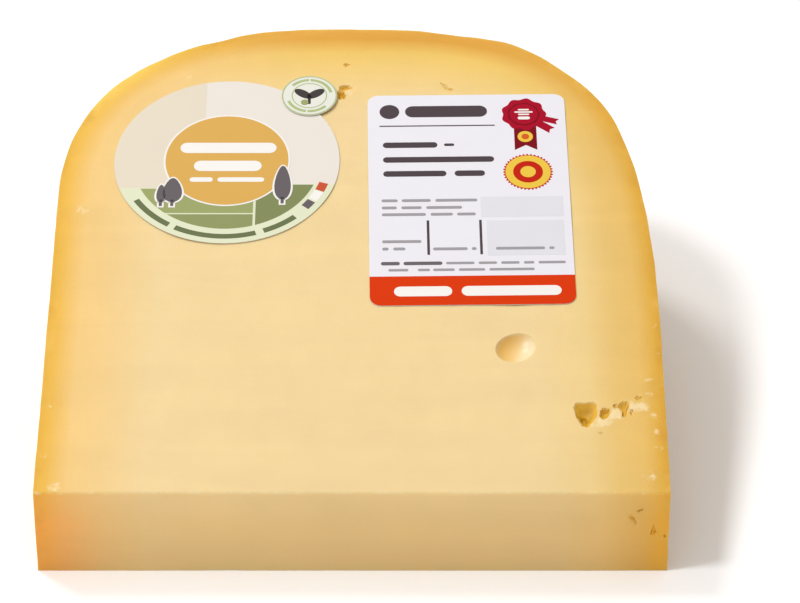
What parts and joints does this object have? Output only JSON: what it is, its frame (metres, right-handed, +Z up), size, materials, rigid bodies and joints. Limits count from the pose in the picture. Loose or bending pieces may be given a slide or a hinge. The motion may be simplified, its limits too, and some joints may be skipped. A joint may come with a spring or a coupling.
{
  "type": "cheese wedge",
  "caption": "Wedge of firm yellow wheel cheese lying on a cut side, with its tip cut off square, a smooth rounded rind at the back and paper stickers on top.",
  "frame": {"origin": "middle of the wedge's foot: the centre of the bounding box in X and Y, and the flat lower cut it rests on at Z = 0", "axes": "X runs along the wheel's axis from face to face, +Y runs from the square tip cut to the rind, and +Z is up"},
  "size_m": [0.1154, 0.123, 0.0487],
  "materials": {
    "cheese": "smooth, slightly waxy cut cheese that turns deeper yellow towards its rind",
    "cream_paper": "satin sticker paper, printed",
    "white_paper": "satin sticker paper, printed",
    "small_paper": "satin sticker paper, printed"
  },
  "bodies": {
    "root": {"cheese": "cheese", "round_label": "cream_paper", "price_label": "white_paper", "small_label": "small_paper"}
  },
  "joints": []
}
